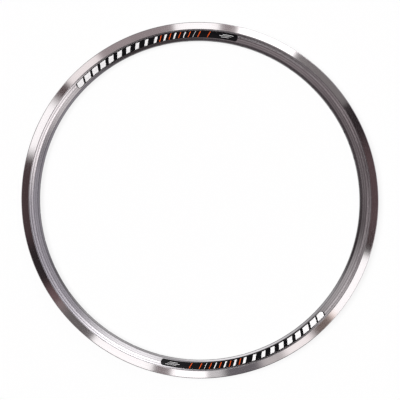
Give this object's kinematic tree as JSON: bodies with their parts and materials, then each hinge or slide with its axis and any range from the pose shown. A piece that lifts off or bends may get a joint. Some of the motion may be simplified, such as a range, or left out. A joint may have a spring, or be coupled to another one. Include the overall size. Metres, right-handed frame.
{
  "type": "bicycle rim",
  "caption": "Hollow alloy wheel hoop with hooked tyre flanges, flat brake tracks, tapering side walls, a drilled spoke bed and two film stickers.",
  "frame": {"origin": "centre of the wheel, in the rim's mid-plane", "axes": "+Z along the axle line towards the side with the stickers, +X through the valve hole; the rim lies flat on its back brake track, at z = -0.010"},
  "size_m": [0.6339, 0.634, 0.02],
  "materials": {
    "rim_alloy": "satin anodised side walls, turned and polished brake tracks",
    "sleeve_alloy": "plain extruded",
    "decal_film": "glossy black printed film"
  },
  "bodies": {
    "root": {"rim_hoop": "rim_alloy", "joint_sleeve": "sleeve_alloy", "decal_upper": "decal_film", "decal_lower": "decal_film"}
  },
  "joints": []
}
